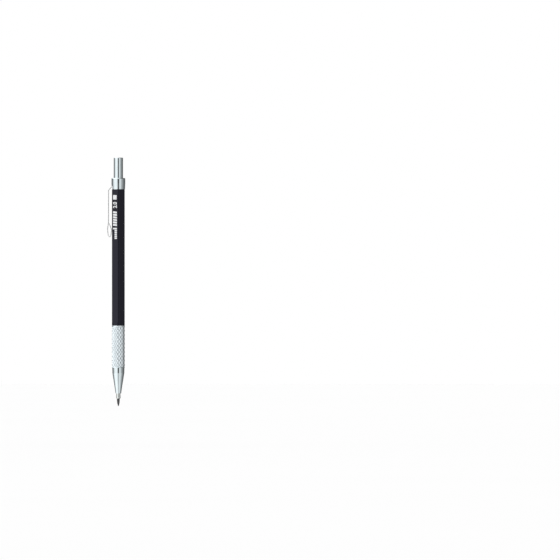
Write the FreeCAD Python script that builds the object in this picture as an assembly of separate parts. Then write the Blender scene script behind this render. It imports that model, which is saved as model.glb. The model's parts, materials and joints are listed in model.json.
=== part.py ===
"""Push-button clutch lead holder for 2 mm leads.

The holder stands on its point: +Z runs along its axis, from the lead's point up to the push button.
The origin is on the axis at the rear end of the grip sleeve, where the sleeve meets the barrel.
The pocket clip lies on the -X side. All sizes are in millimetres.

Pressing the button slides the lead tube and its three clutch jaws forward against the return spring.
The jaws' tapered heads leave their seat in the nose cone and spread, and the lead is free to slide.
The button pulls off the tube, and holds a small lead pointer.
"""

import FreeCAD, Part

import math
import os

# ---------------------------------------------------------------- driving dimensions
LEAD_DIAMETER = 1.98
LEAD_LENGTH = 130.0
LEAD_OUT = 4.65  # lead showing beyond the jaws

BARREL_LENGTH = 81.3
BARREL_FLATS = 7.62  # across the flats of the hexagon
BARREL_CORNER_R = 1.5
GRIP_LENGTH = 25.1
GRIP_DIAMETER = 7.7
NOSE_SHOULDER_LENGTH = 3.3
NOSE_SHOULDER_DIAMETER = 7.2
NOSE_REAR_DIAMETER = 7.4
NOSE_LENGTH = 15.4
NOSE_MOUTH_DIAMETER = 3.36
JAW_SHOW = 3.05  # jaws showing beyond the nose
COLLAR_LENGTH = 6.8
COLLAR_DIAMETER = 8.32
BUTTON_DIAMETER = 5.6
BUTTON_SHOW = 12.15  # button showing above the collar

FIT = 0.02  # radial gap between pieces that are pressed or screwed together
SLIDE_FIT = 0.05  # radial gap between pieces that slide

# ---------------------------------------------------------------- heights along the axis
GRIP_FRONT = -GRIP_LENGTH
NOSE_MOUTH = GRIP_FRONT - NOSE_LENGTH
JAW_END = NOSE_MOUTH - JAW_SHOW
LEAD_POINT = JAW_END - LEAD_OUT
COLLAR_TOP = BARREL_LENGTH + COLLAR_LENGTH
BUTTON_TOP = COLLAR_TOP + BUTTON_SHOW

# ---------------------------------------------------------------- inner radii shared by mating pieces
THREAD_R = 3.0  # joints between nose, grip, coupling and barrel
THREAD_LENGTH = 5.0
BARREL_BORE_R = 2.4
TAIL_BORE_R = 2.88
TAIL_BORE_FLOOR = 70.0
SPIGOT_R = 3.3
SPIGOT_TOP = BARREL_LENGTH + 5.4
BAND_R = 3.6
BAND_TOP = BARREL_LENGTH + 3.2
TUBE_R = 1.75
TUBE_BORE_R = 1.35
TUBE_FRONT = -22.0
TUBE_TOP = 89.5
JAW_ROOT = JAW_END + 16.0
LEAF_BORE_R = 1.03
SPRING_FLOOR = GRIP_FRONT + THREAD_LENGTH + 0.4
SPRING_TOP = -1.9

BUTTON_WALL = 0.4
BLADE_THICKNESS = 0.3
BLADE_TILT = 9.5  # degrees, the half angle of the pointer's cone
BUTTON_FLOOR = 82.5
POINTER_TOP = BUTTON_TOP - 0.5
POINTER_MOUTH_R = 1.1
POINTER_MOUTH_DEPTH = 2.0
POINTER_CONE_DEPTH = 5.7
SOCKET_TOP = TUBE_TOP + 0.3

CLIP_WIDTH = 3.4
CLIP_THICKNESS = 0.45
CLIP_TIP_WIDTH = 2.6

AXIS = FreeCAD.Vector(0, 0, 1)
ORIGIN = FreeCAD.Vector(0, 0, 0)


# ---------------------------------------------------------------- helpers
def outline(points, plane="xz"):
    """A closed wire through (u, v) or (u, v, fillet radius) points, with an arc at each point that states a radius."""
    corners = [(p[0], p[1], p[2] if len(p) > 2 else 0.0) for p in points]
    return Part.Wire(edges_along(corners, plane, closed=True))


def edges_along(corners, plane, closed):
    """Line and arc edges along corners given as (u, v, fillet radius)."""

    def place(u, v):
        return FreeCAD.Vector(u, 0, v) if plane == "xz" else FreeCAD.Vector(u, v, 0)

    at = [place(u, v) for u, v, _ in corners]
    count = len(at)
    entries, exits, arcs = [], [], []
    for i, (_, _, radius) in enumerate(corners):
        here = at[i]
        is_end = not closed and i in (0, count - 1)
        if radius == 0 or is_end:
            entries.append(here)
            exits.append(here)
            arcs.append(None)
            continue
        back = (at[i - 1] - here).normalize()
        ahead = (at[(i + 1) % count] - here).normalize()
        half = back.getAngle(ahead) / 2
        cut = radius / math.tan(half)
        middle = here + (back + ahead).normalize() * (radius / math.sin(half) - radius)
        entries.append(here + back * cut)
        exits.append(here + ahead * cut)
        arcs.append(Part.Arc(entries[i], middle, exits[i]).toShape())
    edges = []
    for i in range(count):
        if arcs[i]:
            edges.append(arcs[i])
        last = i == count - 1
        if last and not closed:
            break
        start, end = exits[i], entries[(i + 1) % count]
        if start.distanceToPoint(end) > 1e-6:
            edges.append(Part.LineSegment(start, end).toShape())
    return edges


def turned(points):
    """A solid of revolution about Z from an outline of (radius, height) or (radius, height, fillet) points."""
    return Part.Face(outline(points)).revolve(ORIGIN, AXIS, 360)


def ring(inner_r, outer_r, low, high, edge=0.0):
    """A plain ring or tube, with its four edges chamfered where edge is given."""
    if not edge:
        return turned([(inner_r, low), (outer_r, low), (outer_r, high), (inner_r, high)])
    return turned(
        [
            (inner_r + edge, low),
            (outer_r - edge, low),
            (outer_r, low + edge),
            (outer_r, high - edge),
            (outer_r - edge, high),
            (inner_r + edge, high),
            (inner_r, high - edge),
            (inner_r, low + edge),
        ]
    )


def box(x0, x1, y0, y1, z0, z1):
    return Part.makeBox(x1 - x0, y1 - y0, z1 - z0, FreeCAD.Vector(x0, y0, z0))


def thread_grooves(radius, low, high, pitch=0.75, depth=0.22):
    """Ring grooves that stand for a fine thread on a cylinder of the given radius."""
    grooves = []
    height = low + pitch
    while height < high - pitch / 2:
        grooves.append(
            turned([(radius - depth, height), (radius + 0.05, height - 0.3), (radius + 0.05, height + 0.3)])
        )
        height += pitch
    return grooves


# ---------------------------------------------------------------- front end
def nose_cone():
    """Turned cone, screwed into the grip. Its mouth is the tapered seat that closes the jaws."""
    shoulder_r = NOSE_SHOULDER_DIAMETER / 2
    mouth_r = NOSE_MOUTH_DIAMETER / 2
    cone_start = GRIP_FRONT - NOSE_SHOULDER_LENGTH
    body = turned(
        [
            (1.38, NOSE_MOUTH),
            (mouth_r, NOSE_MOUTH, 0.15),
            (2.44, NOSE_MOUTH + 5.0, 40.0),
            (shoulder_r, cone_start, 2.5),
            (NOSE_REAR_DIAMETER / 2, GRIP_FRONT, 0.1),
            (2.8, GRIP_FRONT),
            (2.8, GRIP_FRONT + 0.5),
            (THREAD_R - FIT, GRIP_FRONT + 0.7),
            (THREAD_R - FIT, GRIP_FRONT + THREAD_LENGTH, 0.2),
            (2.1, GRIP_FRONT + THREAD_LENGTH),
            (2.1, -28.6),
            (1.78, -29.2),
            (1.78, NOSE_MOUTH + 2.2),
            (1.32, NOSE_MOUTH + 1.3),
            (1.32, NOSE_MOUTH + 0.8),
        ]
    )
    return body.cut(thread_grooves(THREAD_R - FIT, GRIP_FRONT + 0.8, GRIP_FRONT + THREAD_LENGTH))


def grip_sleeve():
    """Metal sleeve, at the crest radius of its knurl."""
    return turned(
        [
            (THREAD_R, GRIP_FRONT),
            (GRIP_DIAMETER / 2, GRIP_FRONT, 0.25),
            (GRIP_DIAMETER / 2, 0, 0.1),
            (THREAD_R, 0),
            (THREAD_R, -THREAD_LENGTH - 0.5),
            (2.9, -THREAD_LENGTH - 0.7),
            (2.9, GRIP_FRONT + THREAD_LENGTH + 0.7),
            (THREAD_R, GRIP_FRONT + THREAD_LENGTH + 0.5),
        ]
    )


def grip_coupling():
    """Threaded nipple that joins the grip sleeve to the barrel."""
    body = ring(2.68, THREAD_R - FIT, -THREAD_LENGTH, 6.0, 0.1)
    grooves = thread_grooves(THREAD_R - FIT, -THREAD_LENGTH, -0.4) + thread_grooves(THREAD_R - FIT, 0.4, 6.0)
    return body.cut(grooves)


# ---------------------------------------------------------------- barrel and tail
def hexagon_prism(low, high):
    """Hexagonal prism with rounded corners and two flats facing +X and -X."""
    circumradius = BARREL_FLATS / 2 / math.cos(math.pi / 6)
    corners = [
        (circumradius * math.cos(a), circumradius * math.sin(a), BARREL_CORNER_R)
        for a in (math.radians(30 + 60 * i) for i in range(6))
    ]
    face = Part.Face(outline(corners, plane="xy"))
    face.translate(FreeCAD.Vector(0, 0, low))
    return face.extrude(FreeCAD.Vector(0, 0, high - low))


def barrel():
    """Hexagonal moulded barrel. Both ends are turned down to their round neighbours."""
    turned_envelope = turned(
        [
            (0, 0),
            (GRIP_DIAMETER / 2 + 0.02, 0, 0.1),
            (4.3, 3.3),
            (4.3, BARREL_LENGTH - 0.5),
            (4.02, BARREL_LENGTH),
            (SPIGOT_R, BARREL_LENGTH),
            (SPIGOT_R, SPIGOT_TOP, 0.15),
            (0, SPIGOT_TOP),
        ]
    )
    prism = hexagon_prism(0, BARREL_LENGTH)
    spigot = ring(TAIL_BORE_R - 0.1, SPIGOT_R, BARREL_LENGTH - 1, SPIGOT_TOP, 0)
    body = prism.fuse(spigot).common(turned_envelope)
    bore = turned(
        [
            (0, -1),
            (THREAD_R, -1),
            (THREAD_R, 6.3),
            (BARREL_BORE_R, 6.3),
            (BARREL_BORE_R, TAIL_BORE_FLOOR),
            (TAIL_BORE_R, TAIL_BORE_FLOOR),
            (TAIL_BORE_R, SPIGOT_TOP + 1),
            (0, SPIGOT_TOP + 1),
        ]
    )
    return body.cut(bore)


def tube_guide():
    """Bush in the barrel's tail bore that keeps the lead tube central."""
    return ring(TUBE_R + SLIDE_FIT, TAIL_BORE_R - FIT, TAIL_BORE_FLOOR + 0.02, TAIL_BORE_FLOOR + 3.0, 0.2)


def tail_collar():
    """Plated collar pressed on the barrel's spigot over the clip's band, notched on the -X side for the clip."""
    radius = COLLAR_DIAMETER / 2
    low = BARREL_LENGTH + 0.03
    body = turned(
        [
            (BAND_R + FIT, low),
            (radius - 0.2, low),
            (radius - 0.15, low + 0.06),
            (radius, BARREL_LENGTH + 3.6),
            (radius, COLLAR_TOP, 0.55),
            (TAIL_BORE_R + 0.1, COLLAR_TOP),
            (TAIL_BORE_R, COLLAR_TOP - 0.1),
            (TAIL_BORE_R, SPIGOT_TOP + 0.1),
            (SPIGOT_R + FIT, SPIGOT_TOP + 0.1),
            (SPIGOT_R + FIT, BAND_TOP + 0.1),
            (BAND_R + FIT, BAND_TOP + 0.1),
        ]
    )
    half = CLIP_WIDTH / 2 + 0.2
    return body.cut(box(-5, -3, -half, half, BARREL_LENGTH - 1, CLIP_ROOT + 0.45))


# ---------------------------------------------------------------- pocket clip
CLIP_ROOT = BARREL_LENGTH + 1.6
CLIP_LOOP = BARREL_LENGTH - 28.5  # lowest point of the curl
CLIP_PATH = [
    (-BAND_R - 0.3, CLIP_ROOT, 0),
    (-5.85, CLIP_ROOT - 2.0, 0.8),
    (-5.88, CLIP_LOOP + 9.0, 20.0),
    (-6.46, CLIP_LOOP + 4.8, 7.0),
    (-6.1, CLIP_LOOP + 1.1, 1.4),
    (-5.3, CLIP_LOOP - 0.35, 0.55),
    (-4.5, CLIP_LOOP + 1.1, 1.4),
    (-4.02, CLIP_LOOP + 4.3, 2.6),
    (-5.5, CLIP_LOOP + 8.2, 0),
]


def strip_outline(path, thickness):
    """Closed outline of a bent strip from its centre line, given as (x, z, bend radius)."""
    sides = {1: [], -1: []}
    points = [FreeCAD.Vector(x, 0, z) for x, z, _ in path]
    last = len(points) - 1
    for i, (_, _, radius) in enumerate(path):
        before = (points[i] - points[i - 1]).normalize() if i > 0 else None
        after = (points[i + 1] - points[i]).normalize() if i < last else None
        before, after = before or after, after or before
        turn = before.z * after.x - before.x * after.z
        normal = FreeCAD.Vector(-before.z - after.z, 0, before.x + after.x)
        reach = thickness / 2 / (1 + before.dot(after))
        for side, corners in sides.items():
            at = points[i] + normal * (side * reach)
            # a bend towards this side is tighter by half the thickness, and looser on the other
            bend = radius + side * math.copysign(thickness / 2, turn) if radius else 0
            corners.append((at.x, at.z, bend))
    return sides[1] + sides[-1][::-1]


def clip_band():
    """The clip's band, clamped on the barrel's spigot under the collar."""
    return ring(SPIGOT_R + FIT, BAND_R, BARREL_LENGTH + 0.2, BAND_TOP, 0.05)


def clip_arm():
    """Spring strip that leaves the band through the collar's notch, runs down the barrel and curls back to it."""
    strip = Part.Face(outline(strip_outline(CLIP_PATH, CLIP_THICKNESS)))
    half = CLIP_WIDTH / 2
    strip.translate(FreeCAD.Vector(0, -half, 0))
    bent = strip.extrude(FreeCAD.Vector(0, CLIP_WIDTH, 0))
    tip = CLIP_TIP_WIDTH / 2
    high, low, waist = CLIP_ROOT + 1, CLIP_LOOP - 1.2, CLIP_ROOT - 5
    front_view = [(-half, high), (-half, waist), (-tip, low, 1.4), (tip, low, 1.4), (half, waist), (half, high)]
    plan = Part.Face(outline(front_view))
    plan.rotate(ORIGIN, AXIS, 90)
    plan.translate(FreeCAD.Vector(-9, 0, 0))
    return bent.common(plan.extrude(FreeCAD.Vector(8, 0, 0)))


# ---------------------------------------------------------------- push tube and clutch
def lead_tube():
    """Drawn tube that carries the spare length of the lead and joins the button to the clutch."""
    return ring(TUBE_BORE_R, TUBE_R, TUBE_FRONT, TUBE_TOP, 0.08)


def clutch_shank():
    """Solid end of the clutch, pressed into the lead tube. The three jaws spring from its front end."""
    return turned(
        [
            (LEAF_BORE_R, JAW_ROOT),
            (1.6, JAW_ROOT),
            (1.6, TUBE_FRONT - 0.02),
            (TUBE_BORE_R - FIT, TUBE_FRONT - 0.02),
            (TUBE_BORE_R - FIT, TUBE_FRONT + 5.0, 0.1),
            (LEAF_BORE_R, TUBE_FRONT + 5.0),
        ]
    )


JAW_SLIT = 0.22
JAW_NECK_R = 1.19
JAW_HEAD_R = 1.33


def clutch_jaws():
    """Three jaws cut from one turned collet by three radial slits."""
    grip_bore_r = LEAD_DIAMETER / 2 + 0.02
    collet = turned(
        [
            (grip_bore_r, JAW_END),
            (JAW_HEAD_R - 0.06, JAW_END, 0.2),
            (JAW_HEAD_R, JAW_END + 0.8, 0.5),
            (JAW_HEAD_R - 0.09, NOSE_MOUTH - 0.9, 1.0),
            (JAW_HEAD_R - 0.07, NOSE_MOUTH),
            (JAW_NECK_R, NOSE_MOUTH + 1.0),
            (JAW_NECK_R, NOSE_MOUTH + 5.7),
            (1.6, NOSE_MOUTH + 6.2),
            (1.6, JAW_ROOT - 0.03),
            (LEAF_BORE_R, JAW_ROOT - 0.03),
            (LEAF_BORE_R, JAW_END + 2.2),
            (grip_bore_r, JAW_END + 2.0),
        ]
    )
    slits = []
    for i in range(3):
        slit = box(0, 3, -JAW_SLIT / 2, JAW_SLIT / 2, JAW_END - 1, JAW_ROOT + 1)
        slit.rotate(ORIGIN, AXIS, 90 + 120 * i)
        slits.append(slit)
    pieces = collet.cut(slits).Solids
    return sorted(pieces, key=lambda s: math.atan2(s.CenterOfMass.y, s.CenterOfMass.x) % (2 * math.pi))


def spring_collar():
    """Collar crimped on the lead tube: the return spring pushes it back."""
    return ring(TUBE_R + FIT, 2.5, SPRING_TOP + 0.02, SPRING_TOP + 1.6, 0.15)


def spring_washer():
    """Washer on the nose cone's threaded end, under the return spring."""
    return ring(1.95, 2.85, GRIP_FRONT + THREAD_LENGTH + 0.02, SPRING_FLOOR, 0.05)


SPRING_WIRE_R = 0.25
SPRING_MEAN_R = 2.3
SPRING_TURNS = 13


def return_spring():
    """Compression spring round the lead tube."""
    low = SPRING_FLOOR + SPRING_WIRE_R + 0.03
    height = SPRING_TOP - SPRING_WIRE_R - 0.03 - low
    helix = Part.makeHelix(height / SPRING_TURNS, height, SPRING_MEAN_R)
    helix.translate(FreeCAD.Vector(0, 0, low))
    section = Part.Wire(Part.makeCircle(SPRING_WIRE_R, FreeCAD.Vector(SPRING_MEAN_R, 0, low), FreeCAD.Vector(0, 1, 0)))
    return Part.Wire(helix.Edges).makePipeShell([section], True, True)


# ---------------------------------------------------------------- lead
def lead():
    """Graphite lead, sharpened and a little worn at its point."""
    radius = LEAD_DIAMETER / 2
    taper = [
        (0.10, LEAD_POINT + 0.04),
        (0.34, LEAD_POINT + 0.6),
        (0.55, LEAD_POINT + 1.3),
        (0.71, LEAD_POINT + 2.1),
        (0.79, LEAD_POINT + 3.0),
        (0.85, LEAD_POINT + 4.6),
        (radius, LEAD_POINT + 7.0),
    ]
    to_vector = [FreeCAD.Vector(r, 0, z) for r, z in taper]
    curve = Part.BSplineCurve()
    curve.interpolate(to_vector)
    top = LEAD_POINT + LEAD_LENGTH
    corners = [to_vector[-1], FreeCAD.Vector(radius, 0, top), FreeCAD.Vector(0, 0, top)]
    corners += [FreeCAD.Vector(0, 0, LEAD_POINT), to_vector[0]]
    lines = [Part.LineSegment(a, b).toShape() for a, b in zip(corners, corners[1:])]
    return Part.Face(Part.Wire([curve.toShape()] + lines)).revolve(ORIGIN, AXIS, 360)


# ---------------------------------------------------------------- push button and its lead pointer
def push_button():
    """Plated shell of the button, open at the top over the lead pointer."""
    radius = BUTTON_DIAMETER / 2
    bore = radius - BUTTON_WALL
    return turned(
        [
            (bore, BUTTON_FLOOR),
            (radius, BUTTON_FLOOR, 0.15),
            (radius, BUTTON_TOP, 0.35),
            (bore - 0.35, BUTTON_TOP, 0.1),
            (bore - 0.35, POINTER_TOP + 0.02),
            (bore, POINTER_TOP + 0.02),
        ]
    )


def button_bush():
    """Brass bush pressed in the button's shell: it grips the end of the lead tube."""
    outer = BUTTON_DIAMETER / 2 - BUTTON_WALL - FIT
    return ring(TUBE_R + FIT, outer, BUTTON_FLOOR + 0.8, SOCKET_TOP - 0.02, 0.1)


def blade_blank(grow):
    """The pointer blade's place, leaning with the cone's flank, grown by a clearance."""
    low = POINTER_TOP - POINTER_MOUTH_DEPTH - POINTER_CONE_DEPTH + 0.3
    high = POINTER_TOP - POINTER_MOUTH_DEPTH - 0.3
    blank = box(0.02 - grow, 1.75 + grow, -BLADE_THICKNESS - grow, grow, low - grow, high + grow)
    blank.rotate(FreeCAD.Vector(0, 0, low), FreeCAD.Vector(1, 0, 0), -BLADE_TILT)
    return blank


def pointer_body():
    """Moulded plug with a conical hole that points a lead turned in it."""
    outer = BUTTON_DIAMETER / 2 - BUTTON_WALL - FIT
    cone_top = POINTER_TOP - POINTER_MOUTH_DEPTH
    plug = turned(
        [
            (0, SOCKET_TOP),
            (outer, SOCKET_TOP, 0.1),
            (outer, POINTER_TOP),
            (POINTER_MOUTH_R, POINTER_TOP),
            (POINTER_MOUTH_R, cone_top),
            (0.15, cone_top - POINTER_CONE_DEPTH),
            (0, cone_top - POINTER_CONE_DEPTH),
        ]
    )
    return plug.cut(blade_blank(FIT))


def pointer_blade():
    """Steel blade set in the pointer, its edge along the flank of the cone."""
    return blade_blank(0)


# ---------------------------------------------------------------- build
def build():
    nodes = {
        "nose_cone": nose_cone(),
        "grip_sleeve": grip_sleeve(),
        "grip_coupling": grip_coupling(),
        "barrel": barrel(),
        "tube_guide": tube_guide(),
        "tail_collar": tail_collar(),
        "clip_band": clip_band(),
        "clip_arm": clip_arm(),
        "lead_tube": lead_tube(),
        "clutch_shank": clutch_shank(),
        "spring_collar": spring_collar(),
        "spring_washer": spring_washer(),
        "return_spring": return_spring(),
        "lead": lead(),
        "push_button": push_button(),
        "pointer_body": pointer_body(),
        "pointer_blade": pointer_blade(),
        "button_bush": button_bush(),
    }
    for number, jaw in enumerate(clutch_jaws(), start=1):
        nodes[f"clutch_jaw_{number}"] = jaw
    return nodes


def main():
    os.makedirs("parts", exist_ok=True)
    for name, shape in build().items():
        solids = shape.Solids
        print(name, "solids", len(solids), "valid", shape.isValid(), "volume", round(shape.Volume, 2))
        part = solids[0] if len(solids) == 1 else Part.makeCompound(solids)
        part.exportStep(f"parts/{name}.step")


main()
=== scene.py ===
"""Looks for the push-button lead holder.

The CAD nodes get procedural materials. The knurled grip sleeve, the pocket clip and the return spring are
modelled here in place of their plain nodes, and generic print is laid on the barrel. Then come the floor,
the studio light and the camera. Shapes are given in millimetres, along the holder's axis as height.
"""

import json
import math

import bmesh
import bpy
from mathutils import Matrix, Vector


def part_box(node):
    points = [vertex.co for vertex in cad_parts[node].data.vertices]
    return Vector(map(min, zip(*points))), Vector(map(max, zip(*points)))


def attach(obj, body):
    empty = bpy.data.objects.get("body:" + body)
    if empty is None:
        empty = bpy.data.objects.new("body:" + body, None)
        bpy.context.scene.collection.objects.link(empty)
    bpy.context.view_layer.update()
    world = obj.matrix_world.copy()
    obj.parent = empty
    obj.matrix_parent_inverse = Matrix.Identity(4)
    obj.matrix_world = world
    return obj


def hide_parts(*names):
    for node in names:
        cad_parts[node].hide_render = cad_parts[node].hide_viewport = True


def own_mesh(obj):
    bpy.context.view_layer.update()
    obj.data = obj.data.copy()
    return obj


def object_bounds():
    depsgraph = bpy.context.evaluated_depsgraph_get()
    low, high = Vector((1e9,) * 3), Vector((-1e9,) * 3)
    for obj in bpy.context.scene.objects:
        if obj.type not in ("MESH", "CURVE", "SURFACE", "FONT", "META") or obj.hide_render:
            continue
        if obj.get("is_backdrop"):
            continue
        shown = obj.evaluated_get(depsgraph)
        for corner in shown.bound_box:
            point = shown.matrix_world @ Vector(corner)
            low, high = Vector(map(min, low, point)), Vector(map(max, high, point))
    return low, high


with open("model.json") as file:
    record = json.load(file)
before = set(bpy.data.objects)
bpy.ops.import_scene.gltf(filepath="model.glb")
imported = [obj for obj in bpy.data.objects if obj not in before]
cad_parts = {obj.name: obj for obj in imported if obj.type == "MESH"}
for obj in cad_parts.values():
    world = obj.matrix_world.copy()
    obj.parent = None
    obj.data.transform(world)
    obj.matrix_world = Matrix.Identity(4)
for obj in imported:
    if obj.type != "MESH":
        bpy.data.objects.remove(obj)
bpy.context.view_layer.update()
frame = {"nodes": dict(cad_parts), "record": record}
nodes = frame["nodes"]
MM = 0.001


# ---------------------------------------------------------------- objects
def new_object(name, data):
    made = bpy.data.objects.new(name, data)
    bpy.context.scene.collection.objects.link(made)
    return made


def mesh_object(name, vertices, faces):
    """A mesh from points in millimetres, with its normals turned outward."""
    mesh = bpy.data.meshes.new(name)
    mesh.from_pydata([(x * MM, y * MM, z * MM) for x, y, z in vertices], [], faces)
    bm = bmesh.new()
    bm.from_mesh(mesh)
    bmesh.ops.remove_doubles(bm, verts=bm.verts, dist=1e-8)
    bmesh.ops.recalc_face_normals(bm, faces=bm.faces)
    bm.to_mesh(mesh)
    bm.free()
    return new_object(name, mesh)


def smooth_by_angle(obj, degrees):
    """Smooth shading, with the edges sharper than the angle kept crisp."""
    mesh = obj.data
    for polygon in mesh.polygons:
        polygon.use_smooth = True
    bm = bmesh.new()
    bm.from_mesh(mesh)
    limit = math.radians(degrees)
    for edge in bm.edges:
        edge.smooth = len(edge.link_faces) == 2 and edge.calc_face_angle(0.0) < limit
    bm.to_mesh(mesh)
    bm.free()


def swept_faces(sections, count):
    """Faces of a closed sweep whose vertices are sections of count points, one after another."""
    faces = [(i * count + k, i * count + (k + 1) % count, (i + 1) * count + (k + 1) % count, (i + 1) * count + k)
             for i in range(sections - 1) for k in range(count)]
    return faces + [tuple(range(count)), tuple((sections - 1) * count + k for k in range(count))]


# ---------------------------------------------------------------- node building
class NodeBuilder:
    """Short calls for the nodes that the materials and the studio share."""

    def __init__(self, tree):
        self.tree = tree

    def node(self, kind, **settings):
        made = self.tree.nodes.new(kind)
        for key, value in settings.items():
            setattr(made, key, value)
        return made

    def link(self, source, target):
        self.tree.links.new(source, target)

    def feed(self, value, socket):
        """A number or colour is set on the socket, and a node's output is linked to it."""
        if isinstance(value, (int, float)):
            socket.default_value = value
        elif isinstance(value, tuple):
            socket.default_value = (*value, 1.0)
        else:
            self.link(value, socket)

    def math(self, operation, a, b=0.0):
        made = self.node("ShaderNodeMath", operation=operation)
        self.feed(a, made.inputs[0])
        self.feed(b, made.inputs[1])
        return made.outputs[0]

    def span(self, value, low, high, out_low=0.0, out_high=1.0, kind="LINEAR"):
        """A value spread from one range to another, and held inside it."""
        made = self.node("ShaderNodeMapRange", interpolation_type=kind)
        self.link(value, made.inputs["Value"])
        for key, number in (("From Min", low), ("From Max", high), ("To Min", out_low), ("To Max", out_high)):
            made.inputs[key].default_value = number
        return made.outputs["Result"]

    def blend(self, factor, a, b):
        """Colour a where the factor is 0, b where it is 1."""
        made = self.node("ShaderNodeMix", data_type="RGBA")
        self.link(factor, made.inputs["Factor"])
        self.feed(a, made.inputs[6])
        self.feed(b, made.inputs[7])
        return made.outputs[2]


class Shader(NodeBuilder):
    """A Principled material with the patterns that the finishes share."""

    def __init__(self, name, **sockets):
        self.material = bpy.data.materials.new(name)
        self.material.use_nodes = True
        super().__init__(self.material.node_tree)
        self.surface = self.tree.nodes["Principled BSDF"]
        self.coords = self.node("ShaderNodeTexCoord").outputs["Object"]
        for socket, value in sockets.items():
            self.surface.inputs[socket.replace("_", " ")].default_value = value

    def noise(self, scale, detail, roughness, stretch=(1, 1, 1)):
        """Noise in the piece's own coordinates, stretched."""
        mapping = self.node("ShaderNodeMapping")
        mapping.inputs["Scale"].default_value = stretch
        self.link(self.coords, mapping.inputs["Vector"])
        made = self.node("ShaderNodeTexNoise")
        made.inputs["Scale"].default_value = scale
        made.inputs["Detail"].default_value = detail
        made.inputs["Roughness"].default_value = roughness
        self.link(mapping.outputs["Vector"], made.inputs["Vector"])
        return made.outputs["Fac"]

    def radius(self):
        """Distance from the holder's axis, in metres."""
        flat = self.node("ShaderNodeVectorMath", operation="MULTIPLY")
        flat.inputs[1].default_value = (1, 1, 0)
        self.link(self.coords, flat.inputs[0])
        length = self.node("ShaderNodeVectorMath", operation="LENGTH")
        self.link(flat.outputs["Vector"], length.inputs[0])
        return length.outputs["Value"]

    def height(self):
        """Height along the holder's axis, in metres."""
        parts = self.node("ShaderNodeSeparateXYZ")
        self.link(self.coords, parts.inputs[0])
        return parts.outputs["Z"]

    def colour(self, socket):
        self.link(socket, self.surface.inputs["Base Color"])

    def roughness(self, socket):
        self.link(socket, self.surface.inputs["Roughness"])

    def bump(self, height, distance, strength):
        """Relief, chained on any relief given before."""
        made = self.node("ShaderNodeBump")
        made.inputs["Strength"].default_value = strength
        made.inputs["Distance"].default_value = distance
        self.link(height, made.inputs["Height"])
        earlier = self.surface.inputs["Normal"].links
        if earlier:
            self.link(earlier[0].from_socket, made.inputs["Normal"])
        self.link(made.outputs["Normal"], self.surface.inputs["Normal"])


# ---------------------------------------------------------------- finishes
AROUND = (1, 1, 60)  # stretches a pattern into rings round the axis
ALONG = (1, 1, 0.03)  # stretches a pattern into lines along the axis


def shaded(colour, share):
    """The same colour, darker or lighter."""
    return tuple(c * share for c in colour)


def plated(name, colour, dull=0.05, worn=0.13, rings=0.4):
    """Bright plated metal with faint turning rings, hairlines and finger haze."""
    s = Shader(name, Metallic=1.0)
    haze = s.noise(260, 4, 0.6)
    lines = s.noise(900, 2, 0.5, AROUND)
    hair = s.noise(5200, 2, 0.6, ALONG)
    s.colour(s.blend(s.span(haze, 0.35, 0.7), colour, shaded(colour, 0.94)))
    mixed = s.math("ADD", s.span(haze, 0.4, 0.75, dull, worn), s.span(lines, 0.3, 0.8, 0.0, 0.035))
    s.roughness(s.math("ADD", mixed, s.span(hair, 0.62, 0.8, 0.0, 0.05)))
    s.bump(lines, 0.000002, rings)
    s.bump(hair, 0.0000015, 0.3)
    return s.material


def brushed(name, colour, rough=0.24, stretch=ALONG):
    """Satin metal with fine brushing."""
    s = Shader(name, Metallic=1.0)
    grain = s.noise(3800, 3, 0.6, stretch)
    haze = s.noise(420, 4, 0.6)
    s.colour(s.blend(s.span(haze, 0.3, 0.75), colour, shaded(colour, 0.88)))
    brushing = s.span(grain, 0.3, 0.75, rough - 0.06, rough + 0.08)
    s.roughness(s.math("ADD", brushing, s.span(haze, 0.3, 0.8, 0.0, 0.06)))
    s.bump(grain, 0.000004, 0.5)
    return s.material


GROOVE_RADIUS, CREST_RADIUS = 0.00355, 0.00378  # metres: fully darkened below the first, not darkened above the second


def knurled(name):
    """Satin plated knurl: burnished on its crests, with its colour darker in its grooves."""
    s = Shader(name, Metallic=1.0)
    haze = s.noise(700, 4, 0.6)
    grain = s.noise(6500, 3, 0.65)
    crest = s.span(s.radius(), GROOVE_RADIUS, CREST_RADIUS)
    # the colour is darker in the grooves: fully below the groove radius, not at all above the crest radius, by
    # an amount that noise varies
    groove_darkening = s.math("MULTIPLY", s.math("SUBTRACT", 1.0, crest), s.span(haze, 0.3, 0.7, 0.35, 1.0))
    undarkened_tone = s.blend(s.span(haze, 0.3, 0.7), (0.90, 0.97, 1.0), (0.85, 0.925, 0.965))
    s.colour(s.blend(s.math("MULTIPLY", groove_darkening, 0.65), undarkened_tone, (0.48, 0.52, 0.54)))
    s.roughness(s.math("ADD", s.span(crest, 0, 1, 0.30, 0.46), s.span(grain, 0.3, 0.8, -0.03, 0.08)))
    s.bump(grain, 0.000005, 0.5)
    return s.material


def moulded_gloss(name, colour, sheen):
    """Glossy moulded plastic: slight waviness, soft hairline scratches, handled sheen."""
    s = Shader(name)
    s.surface.inputs["Specular IOR Level"].default_value = 0.44
    s.surface.inputs["Specular Tint"].default_value = (*sheen, 1.0)
    wave = s.noise(240, 2, 0.5, (1, 1, 0.25))
    peel = s.noise(2600, 3, 0.5)
    scratch = s.noise(4200, 2, 0.6, ALONG)
    haze = s.noise(150, 4, 0.6)
    s.colour(s.blend(s.span(haze, 0.3, 0.7), colour, shaded(colour, 1.45)))
    s.roughness(s.math("ADD", s.span(haze, 0.3, 0.75, 0.13, 0.22), s.span(scratch, 0.6, 0.8, 0.0, 0.10)))
    s.bump(wave, 0.00003, 0.25)
    s.bump(peel, 0.000004, 0.35)
    s.bump(scratch, 0.000003, 0.3)
    return s.material


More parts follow.
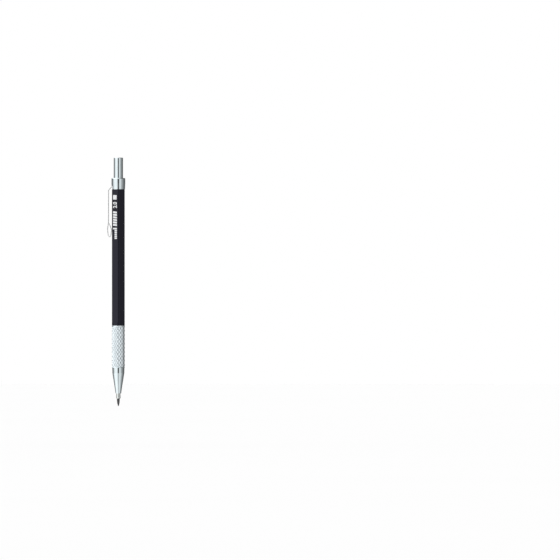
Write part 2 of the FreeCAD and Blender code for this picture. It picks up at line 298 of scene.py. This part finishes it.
def moulded_matte(name, colour):
    """Moulded plastic with a fine grain."""
    s = Shader(name)
    grain = s.noise(5200, 4, 0.7)
    haze = s.noise(500, 3, 0.6)
    s.colour(s.blend(s.span(haze, 0.3, 0.7), colour, shaded(colour, 1.5)))
    s.roughness(s.span(grain, 0.3, 0.7, 0.42, 0.62))
    s.bump(grain, 0.00001, 0.6)
    return s.material


WORN_LOW, WORN_HIGH = -0.0470, -0.0440  # metres: the lead's worn end, from all dusty to not at all


def graphite(name):
    """Polished lead: burnished streaks along it, dusty where it is worn near the point."""
    s = Shader(name, Metallic=0.35)
    streak = s.noise(5200, 3, 0.6, (1, 1, 0.08))
    speck = s.noise(9000, 4, 0.75)
    tip = s.span(s.height(), WORN_LOW, WORN_HIGH, 1.0, 0.0)
    body = s.blend(s.span(streak, 0.3, 0.7), (0.045, 0.045, 0.047), (0.085, 0.086, 0.09))
    s.colour(s.blend(s.math("MULTIPLY", tip, 0.6), body, (0.06, 0.06, 0.062)))
    s.roughness(s.math("ADD", s.span(speck, 0.3, 0.75, 0.34, 0.55), s.math("MULTIPLY", tip, 0.12)))
    s.bump(streak, 0.00001, 0.5)
    s.bump(speck, 0.000006, 0.6)
    return s.material


def ink(name):
    """Pad-printed white: dense, a little thin at its specks, slightly raised."""
    s = Shader(name)
    speck = s.noise(7000, 4, 0.7)
    cloud = s.noise(900, 3, 0.6)
    dense = s.blend(s.span(cloud, 0.3, 0.7), (0.88, 0.89, 0.90), (0.76, 0.77, 0.79))
    s.colour(s.blend(s.span(speck, 0.66, 0.78, 0.0, 0.35), dense, (0.30, 0.30, 0.32)))
    s.roughness(s.span(cloud, 0.3, 0.7, 0.36, 0.52))
    s.bump(speck, 0.000003, 0.5)
    return s.material


finishes = {
    "barrel_black": moulded_gloss("barrel_black", (0.0012, 0.0011, 0.0030), (0.80, 0.79, 1.0)),
    "bright_metal": plated("bright_metal", (0.785, 0.87, 0.895)),
    "grip_metal": knurled("grip_metal"),
    "clip_steel": brushed("clip_steel", (0.80, 0.815, 0.82), 0.30),
    "spring_steel": brushed("spring_steel", (0.55, 0.56, 0.58), 0.2),
    "brass": brushed("brass", (0.80, 0.60, 0.27), 0.22, (1, 1, 30)),
    "jaw_metal": plated("jaw_metal", (0.78, 0.82, 0.80), 0.10, 0.20, 0.6),
    "graphite": graphite("graphite"),
    "pointer_plastic": moulded_matte("pointer_plastic", (0.030, 0.030, 0.033)),
    "blade_steel": brushed("blade_steel", (0.62, 0.63, 0.65), 0.16, (1, 1, 20)),
    "print_white": ink("print_white"),
}


def add_piece(obj, body, slot_name, replaced=None):
    """Gives a piece its finish and its body, and hides the CAD node that it stands for."""
    obj.data.materials.clear()
    obj.data.materials.append(finishes[slot_name])
    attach(obj, body)
    if replaced:
        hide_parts(replaced)


slot_of = {part["node"]: part["material_slot"] for part in frame["record"]["subparts"]}
for node_name, node in nodes.items():
    for material_slot in node.material_slots:
        material_slot.material = finishes[slot_of[node_name]]


# ---------------------------------------------------------------- knurled grip
GRIP_BORE_R = 2.9
KNURL_ROUND = 12  # diamonds round the sleeve
KNURL_PITCH = 2.548  # length of a diamond
KNURL_FIRST = -1.812  # a height where two grooves cross on the clip side, on a row of the mesh
KNURL_DEPTH = 0.36
KNURL_GROOVE = 5 / 12  # half width of a groove, as a share of the diamonds' pitch
KNURL_WEAR = 1.35  # 1 for sharp crests, more for worn ones
KNURL_RUN_OUT = 0.22  # length over which the grooves rise to the plain lands
KNURL_STEPS = 12  # mesh columns and rows to a diamond
REAR_LAND, FRONT_LAND = 0.75, 0.35  # plain bands at the sleeve's ends
# the sleeve's edges, as (distance inside the crests, distance from the end), from the end inward
FRONT_EDGE = [(0.22, 0.0), (0.06, 0.07), (0.0, 0.2)]
REAR_EDGE = [(0.1, 0.0), (0.02, 0.06), (0.0, 0.2)]


def groove(t):
    """1 at the bottom of a groove, 0 on the crest between grooves, with the crest's edges worn round."""
    away = min(1.0, abs(t - round(t)) / KNURL_GROOVE)
    return (1.0 - away) ** KNURL_WEAR


def knurl_radius(crest_r, turn, z, low, high):
    """Radius of the knurl's surface, at a height z and a turn from 0 to 1 round the sleeve."""
    along = (z - KNURL_FIRST) / KNURL_PITCH
    deep = max(groove(KNURL_ROUND * turn + along), groove(KNURL_ROUND * turn - along))
    fade = max(0.0, min(1.0, (high - z) / KNURL_RUN_OUT, (z - low) / KNURL_RUN_OUT))
    return crest_r - KNURL_DEPTH * fade * deep


def on_circle(r, turn, z):
    return (r * math.cos(2 * math.pi * turn), r * math.sin(2 * math.pi * turn), z)


def knurled_grip():
    low_corner, high_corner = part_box("grip_sleeve")
    low, high = low_corner.z / MM, high_corner.z / MM
    crest_r = high_corner.x / MM
    knurl_low, knurl_high = low + FRONT_LAND, high - REAR_LAND
    rows = round((knurl_high - knurl_low) / (KNURL_PITCH / KNURL_STEPS))
    columns = KNURL_ROUND * KNURL_STEPS
    step = (knurl_high - knurl_low) / rows

    def surface(turn, z):
        return on_circle(knurl_radius(crest_r, turn, z, knurl_low, knurl_high), turn, z)

    def plain(r, z):
        return [on_circle(r, i / columns, z) for i in range(columns)]

    front = [plain(GRIP_BORE_R, low)] + [plain(crest_r - inside, low + up) for inside, up in FRONT_EDGE]
    rear = [plain(crest_r - inside, high - down) for inside, down in reversed(REAR_EDGE)]
    rear.append(plain(GRIP_BORE_R, high))
    knurl = [[surface(i / columns, knurl_low + j * step) for i in range(columns)] for j in range(rows + 1)]
    rings = front + knurl + rear
    vertices = [point for ring in rings for point in ring]
    faces = []
    for j in range(len(rings)):
        above = (j + 1) % len(rings)
        for i in range(columns):
            beside = (i + 1) % columns
            quad = [j * columns + i, j * columns + beside, above * columns + beside, above * columns + i]
            if len(front) <= j < len(front) + rows:
                # a middle point lets both families of grooves run along mesh edges
                vertices.append(surface((i + 0.5) / columns, knurl_low + (j - len(front) + 0.5) * step))
                faces += [(quad[k], quad[(k + 1) % 4], len(vertices) - 1) for k in range(4)]
            else:
                faces.append(quad)
    grip = mesh_object("knurled_sleeve", vertices, faces)
    smooth_by_angle(grip, 18)
    add_piece(grip, "holder", "grip_metal", "grip_sleeve")


knurled_grip()


# ---------------------------------------------------------------- pocket clip
CLIP_ROOT, CLIP_LOOP = 82.9, 52.8  # heights of the strip's root and of its curled end
CLIP_THICKNESS = 0.45
CLIP_PATH = [  # the strip's middle line, as (x, height, bend radius)
    (-3.95, CLIP_ROOT, 0),
    (-5.85, CLIP_ROOT - 2.0, 0.8),
    (-5.88, CLIP_LOOP + 9.0, 20.0),
    (-6.46, CLIP_LOOP + 4.8, 7.0),
    (-6.1, CLIP_LOOP + 1.1, 1.4),
    (-5.3, CLIP_LOOP - 0.35, 0.55),
    (-4.5, CLIP_LOOP + 1.1, 1.4),
    (-4.02, CLIP_LOOP + 4.3, 2.6),
    (-5.5, CLIP_LOOP + 8.2, 0),
]
CLIP_WIDTHS = [  # (height, half width)
    (83.5, 1.7), (78.0, 1.7), (58.0, 1.52), (54.0, 1.42), (52.9, 1.12), (52.4, 0.95),
]
CLIP_TIP = (1.0, 0.99, 0.95, 0.88, 0.76)  # narrowing over the strip's last points


def filleted(path, per_arc=10, longest=1.2):
    """Points along straight runs joined by tangent arcs, from corners given as (x, z, radius)."""
    corners = [Vector((x, z)) for x, z, _ in path]
    points = [corners[0]]
    for i in range(1, len(path) - 1):
        here, radius = corners[i], path[i][2]
        back, ahead = (corners[i - 1] - here).normalized(), (corners[i + 1] - here).normalized()
        half = back.angle(ahead) / 2
        start, end = here + back * (radius / math.tan(half)), here + ahead * (radius / math.tan(half))
        centre = here + (back + ahead).normalized() * (radius / math.sin(half))
        turn = (start - centre).angle_signed(end - centre)
        for k in range(per_arc + 1):
            a = -turn * k / per_arc
            arm = start - centre
            points.append(centre + Vector((arm.x * math.cos(a) - arm.y * math.sin(a),
                                           arm.x * math.sin(a) + arm.y * math.cos(a))))
    points.append(corners[-1])
    dense = [points[0]]
    for a, b in zip(points, points[1:]):
        pieces = max(1, math.ceil((b - a).length / longest))
        dense += [a.lerp(b, (k + 1) / pieces) for k in range(pieces)]
    return [p for i, p in enumerate(dense) if i == 0 or (p - dense[i - 1]).length > 1e-4]


def looked_up(table, at):
    """Straight-line lookup in a table of (key, value) with falling keys."""
    if at >= table[0][0]:
        return table[0][1]
    for (k0, v0), (k1, v1) in zip(table, table[1:]):
        if at >= k1:
            return v1 + (v0 - v1) * (at - k1) / (k0 - k1)
    return table[-1][1]


def strip_section(half_width, thickness, edge=0.13, steps=4, across=8):
    """Rounded rectangle, as (along the width, through the thickness)."""
    half = thickness / 2
    points = []
    for side_y, side_t, start in ((1, 1, 0), (-1, 1, 90), (-1, -1, 180), (1, -1, 270)):
        for k in range(steps + 1):
            a = math.radians(start + 90 * k / steps)
            points.append((side_y * (half_width - edge) + edge * math.cos(a),
                           side_t * (half - edge) + edge * math.sin(a)))
        if start in (0, 180):
            for k in range(1, across):
                points.append((side_y * (half_width - edge) * (1 - 2 * k / across), side_t * half))
    return points


def formed_clip():
    """The clip's spring strip, swept along its bent middle line."""
    line = filleted(CLIP_PATH)
    vertices = []
    for i, p in enumerate(line):
        before, after = line[max(i - 1, 0)], line[min(i + 1, len(line) - 1)]
        along = (after - before).normalized()
        normal = Vector((-along.y, along.x))
        half_width = looked_up(CLIP_WIDTHS, p.y)
        from_tip = len(line) - 1 - i
        if from_tip < len(CLIP_TIP):
            half_width *= CLIP_TIP[-1 - from_tip]
        for y, t in strip_section(half_width, CLIP_THICKNESS):
            q = p + normal * t
            vertices.append((q.x, y, q.y))
    clip = mesh_object("formed_clip", vertices, swept_faces(len(line), len(vertices) // len(line)))
    smooth_by_angle(clip, 40)
    add_piece(clip, "clip", "clip_steel", "clip_arm")


formed_clip()


# ---------------------------------------------------------------- return spring
SPRING_WIRE_R, SPRING_MEAN_R = 0.25, 2.3
SPRING_TURNS, CLOSED_TURNS = 13, 1.25  # closed turns lie against each other at each end
CLOSED_RISE = 2.06  # rise of a closed turn, in wire radii
GROUND_TO = 0.6  # height of the wire's middle above its ground end, in wire radii
SPRING_LOW, SPRING_HIGH = -19.67, -1.93
ROUND_A_TURN, ROUND_THE_WIRE = 36, 12


def spring_rise(turn):
    """Height of the wire's middle after so many turns: closed at both ends, open between them."""
    low, high = SPRING_LOW + GROUND_TO * SPRING_WIRE_R, SPRING_HIGH - GROUND_TO * SPRING_WIRE_R
    closed = CLOSED_TURNS * CLOSED_RISE * SPRING_WIRE_R
    if turn < CLOSED_TURNS:
        return low + closed * turn / CLOSED_TURNS
    if turn > SPRING_TURNS - CLOSED_TURNS:
        return high - closed * (SPRING_TURNS - turn) / CLOSED_TURNS
    share = (turn - CLOSED_TURNS) / (SPRING_TURNS - 2 * CLOSED_TURNS)
    return low + closed + (high - low - 2 * closed) * share


def coil_spring():
    """The clutch's return spring, with closed and ground ends, built at one length on a mesh of its own; the
    real one shortens as the button goes down.
    """
    sections = SPRING_TURNS * ROUND_A_TURN + 1
    vertices = []
    for i in range(sections):
        turn = i / ROUND_A_TURN
        z = spring_rise(turn)
        for k in range(ROUND_THE_WIRE):
            b = 2 * math.pi * k / ROUND_THE_WIRE
            r = SPRING_MEAN_R + SPRING_WIRE_R * math.cos(b)
            ground = max(SPRING_LOW, min(SPRING_HIGH, z + SPRING_WIRE_R * math.sin(b)))
            vertices.append(on_circle(r, turn, ground))
    spring = mesh_object("coiled_return_spring", vertices, swept_faces(sections, ROUND_THE_WIRE))
    smooth_by_angle(spring, 50)
    add_piece(spring, "holder", "spring_steel", "return_spring")
    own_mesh(spring)


coil_spring()


# ---------------------------------------------------------------- printed marks
FLAT_DISTANCE = 3.81  # from the holder's axis to the barrel's flats
INK_TOP, INK_UNDERSIDE = 0.025, -0.02  # above and below the flat
DIGIT_WEIGHT = 0.03  # thickens the digits' strokes
BLOCK = (75.2, 77.9)  # heights of the block, the digits and the last bar, from lower to upper end
DIGITS = (70.1, 73.8)
LAST_BAR = (57.45, 58.35)
TALL_BARS, TALL_FROM, TALL_PITCH, TALL_WIDTH, TALL_SLANT = 6, 59.5, 1.5, 1.1, 0.12
LOW_BARS, LOW_FROM, LOW_PITCH, LOW_WIDTH, LOW_CORNER = 5, 51.7, 1.15, 0.9, 0.1
UP_LOW, UP_LOW_TOP, UP_HIGH = -1.22, 0.35, 1.42  # across the flat: the foot, the low bars' top, the top
BLOCK_FOOT = -1.02
FACE_NORMAL = Vector((-0.5, -math.sqrt(3) / 2, 0))  # the flat that faces left of the viewer
TEXT_UP = Vector((-math.sqrt(3) / 2, 0.5, 0))


def on_flat(z, up, out):
    """A point by its height, its place across the flat and its distance out from it."""
    p = FACE_NORMAL * (FLAT_DISTANCE + out) + TEXT_UP * up
    return (p.x, p.y, z)


def printed_bar(name, z0, z1, up0, up1, slant=0.0, corner=0.12):
    """A printed bar: a thin slab with rounded corners, lying on the flat. slant leans it along the barrel."""
    outline = []
    for cz, cu, start in ((z1, up1, 0), (z0, up1, 90), (z0, up0, 180), (z1, up0, 270)):
        iz = cz - math.copysign(corner, cz - (z0 + z1) / 2)
        iu = cu - math.copysign(corner, cu - (up0 + up1) / 2)
        for k in range(5):
            a = math.radians(start + 90 * k / 4)
            outline.append((iz + corner * math.cos(a), iu + corner * math.sin(a)))
    middle = (up0 + up1) / 2
    outline = [(z + slant * (u - middle), u) for z, u in outline]
    vertices = [on_flat(z, u, out) for out in (INK_UNDERSIDE, INK_TOP) for z, u in outline]
    return mesh_object(name, vertices, swept_faces(2, len(outline)))


def printed_digits(name, words, z0, z1, up0, up1):
    """Digits from the built-in font, stretched to fill the given place on the flat."""
    curve = bpy.data.curves.new(name, "FONT")
    curve.body = words
    curve.resolution_u = 6
    curve.extrude = 0.01
    curve.offset = DIGIT_WEIGHT
    holder = new_object(name + "_curve", curve)
    mesh = bpy.data.meshes.new_from_object(holder.evaluated_get(bpy.context.evaluated_depsgraph_get()))
    bpy.data.objects.remove(holder)
    xs, ys = [v.co.x for v in mesh.vertices], [v.co.y for v in mesh.vertices]
    for v in mesh.vertices:
        z = z0 + (v.co.x - min(xs)) / (max(xs) - min(xs)) * (z1 - z0)
        up = up0 + (v.co.y - min(ys)) / (max(ys) - min(ys)) * (up1 - up0)
        v.co = Vector(on_flat(z, up, INK_TOP if v.co.z > 0 else INK_UNDERSIDE)) * MM
    mesh.materials.clear()
    bm = bmesh.new()
    bm.from_mesh(mesh)
    bmesh.ops.remove_doubles(bm, verts=bm.verts, dist=1e-7)
    bmesh.ops.recalc_face_normals(bm, faces=bm.faces)
    bm.to_mesh(mesh)
    bm.free()
    return new_object(name, mesh)


def join(objects, name):
    """One object from several."""
    bm = bmesh.new()
    for obj in objects:
        bm.from_mesh(obj.data)
        bpy.data.objects.remove(obj)
    mesh = bpy.data.meshes.new(name)
    bm.to_mesh(mesh)
    bm.free()
    return new_object(name, mesh)


def print_marks():
    """A block, the lead's size and two rows of bars, in place of a maker's print."""

    def bars(name, count, start, pitch, width, top, slant, corner):
        lower_ends = [start + pitch * k for k in range(count)]
        return [printed_bar(f"{name}_{k}", z, z + width, UP_LOW, top, slant, corner)
                for k, z in enumerate(lower_ends)]

    add_piece(printed_bar("print_block", *BLOCK, BLOCK_FOOT, UP_HIGH), "holder", "print_white")
    add_piece(printed_digits("print_lead_size", "2.0", *DIGITS, UP_LOW, UP_HIGH), "holder", "print_white")
    tall = bars("tall", TALL_BARS, TALL_FROM, TALL_PITCH, TALL_WIDTH, UP_HIGH, TALL_SLANT, 0.12)
    add_piece(join(tall, "print_tall_bars"), "holder", "print_white")
    low = bars("low", LOW_BARS, LOW_FROM, LOW_PITCH, LOW_WIDTH, UP_LOW_TOP, 0.0, LOW_CORNER)
    low.append(printed_bar("low_last", *LAST_BAR, UP_LOW, UP_HIGH, 0.0, LOW_CORNER))
    add_piece(join(low, "print_low_bars"), "holder", "print_white")


print_marks()


# ---------------------------------------------------------------- studio
LEAD_REACH = 0.024  # how far the lead goes down, at most, when the clutch is open
FLOOR_HALF = 6.0


def floor():
    """A pale floor, low enough for the lead to be fed out above it."""
    low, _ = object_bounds()
    mesh = bpy.data.meshes.new("floor")
    mesh.from_pydata([(x * FLOOR_HALF, y * FLOOR_HALF, low.z - LEAD_REACH)
                      for x, y in ((-1, -1), (1, -1), (1, 1), (-1, 1))], [], [(0, 1, 2, 3)])
    made = new_object("floor", mesh)
    s = Shader("pale_floor", Roughness=0.9)
    cloud = s.noise(3, 2, 0.5)
    s.colour(s.blend(cloud, (0.955, 0.955, 0.955), (0.965, 0.965, 0.965)))
    s.surface.inputs["Specular IOR Level"].default_value = 0.0
    made.data.materials.append(s.material)
    made.visible_glossy = False
    made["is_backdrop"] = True


floor()

# The light tent that polished metal mirrors, as (degrees round from the front, brightness), with plus to the
# left as seen from the front. It has a bright panel on the left, a softer one on the right, a dark slit between
# them, dark sides behind them, and a narrow bright strip each side of the dark far end.
TENT = [
    (-180, 0.10), (-168, 0.42), (-156, 0.42), (-148, 0.10), (-112, 0.13), (-94, 0.22), (-76, 0.34),
    (-58, 0.46), (-36, 0.84), (-20, 0.86), (-14, 0.50), (-9, 0.05), (7, 0.05), (12, 0.50), (18, 1.00),
    (40, 1.12), (62, 1.10), (80, 0.90), (96, 0.52), (110, 0.19), (126, 0.13), (147, 0.13), (155, 0.85),
    (168, 0.85), (175, 0.14), (180, 0.10),
]
# The same a little below the horizon, where the floor fills the slit and lights the sides.
TENT_BELOW = [
    (-180, 0.10), (-168, 0.45), (-152, 0.50), (-142, 0.13), (-104, 0.20), (-80, 0.40), (-56, 0.66),
    (-36, 0.92), (-20, 0.88), (-10, 0.54), (7, 0.50), (18, 1.05), (40, 1.18), (72, 1.18), (92, 1.0),
    (110, 0.40), (128, 0.15), (141, 0.18), (150, 1.0), (167, 1.0), (175, 0.14), (180, 0.10),
]
# The same far above and below it, which only sloping faces mirror: brightest behind on the left.
TENT_STEEP = [
    (-180, 0.20), (-140, 0.08), (-106, 0.05), (-81, 0.07), (-59, 0.22), (-40, 0.60), (-21, 0.96),
    (0, 1.06), (33, 1.16), (66, 1.34), (96, 1.70), (128, 1.90), (156, 1.40), (180, 0.20),
]
# heights on the unit sphere between which one ramp gives way to the next
BELOW_STARTS, BELOW_FULL = 0.05, 0.28
STEEP_STARTS, STEEP_FULL = 0.32, 0.50
LIGHT = (1.03, 1.03, 1.03)  # what lights matt surfaces
BACKDROP = (1.0, 1.0, 1.0)  # what the camera sees


def studio():
    """Even soft light and a white backdrop, with the tent seen by reflections only."""
    world = bpy.data.worlds.new("studio")
    bpy.context.scene.world = world
    world.use_nodes = True
    world.node_tree.nodes.clear()
    w = NodeBuilder(world.node_tree)
    direction = w.node("ShaderNodeSeparateXYZ")
    w.link(w.node("ShaderNodeTexCoord").outputs["Generated"], direction.inputs[0])
    x, y, z = direction.outputs
    turn = w.math("ARCTAN2", w.math("MULTIPLY", x, -1.0), w.math("MULTIPLY", y, -1.0))
    place = w.math("ADD", w.math("DIVIDE", turn, 2 * math.pi), 0.5)

    def ramp(stops):
        made = w.node("ShaderNodeValToRGB")
        elements = made.color_ramp.elements
        made.color_ramp.interpolation = "EASE"
        while len(elements) > 1:
            elements.remove(elements[-1])
        for i, (angle, value) in enumerate(stops):
            at = angle / 360 + 0.5
            element = elements[0] if i == 0 else elements.new(at)
            element.position = at
            element.color = (value, value, value, 1)
        w.link(place, made.inputs[0])
        return made.outputs[0]

    below = w.span(w.math("MULTIPLY", z, -1.0), BELOW_STARTS, BELOW_FULL, kind="SMOOTHSTEP")
    steep = w.span(w.math("ABSOLUTE", z), STEEP_STARTS, STEEP_FULL, kind="SMOOTHSTEP")
    tent = w.blend(steep, w.blend(below, ramp(TENT), ramp(TENT_BELOW)), ramp(TENT_STEEP))
    rays = w.node("ShaderNodeLightPath")
    soft = w.blend(rays.outputs["Is Camera Ray"], LIGHT, BACKDROP)
    background = w.node("ShaderNodeBackground")
    w.link(w.blend(rays.outputs["Is Glossy Ray"], soft, tent), background.inputs["Color"])
    w.link(background.outputs[0], w.node("ShaderNodeOutputWorld").inputs["Surface"])


studio()


# ---------------------------------------------------------------- camera
CAMERA_DISTANCE = 10.0
CAMERA_X, CAMERA_Z = 0.0965, 0.0272  # aims beside the holder, which stands left of the picture's middle
FRAME_WIDTH = 0.3343  # width of the view at the holder
SENSOR = 36.0


def camera():
    """A level camera far off, with a long lens."""
    data = bpy.data.cameras.new("camera")
    data.sensor_width = SENSOR
    data.lens = SENSOR * CAMERA_DISTANCE / FRAME_WIDTH
    data.clip_start, data.clip_end = 0.1, 40.0
    made = new_object("camera", data)
    made.location = (CAMERA_X, -CAMERA_DISTANCE, CAMERA_Z)
    made.rotation_euler = (math.radians(90), 0, 0)
    bpy.context.scene.camera = made
    bpy.context.scene.view_settings.view_transform = "Standard"
    bpy.context.scene.view_settings.look = "None"


camera()
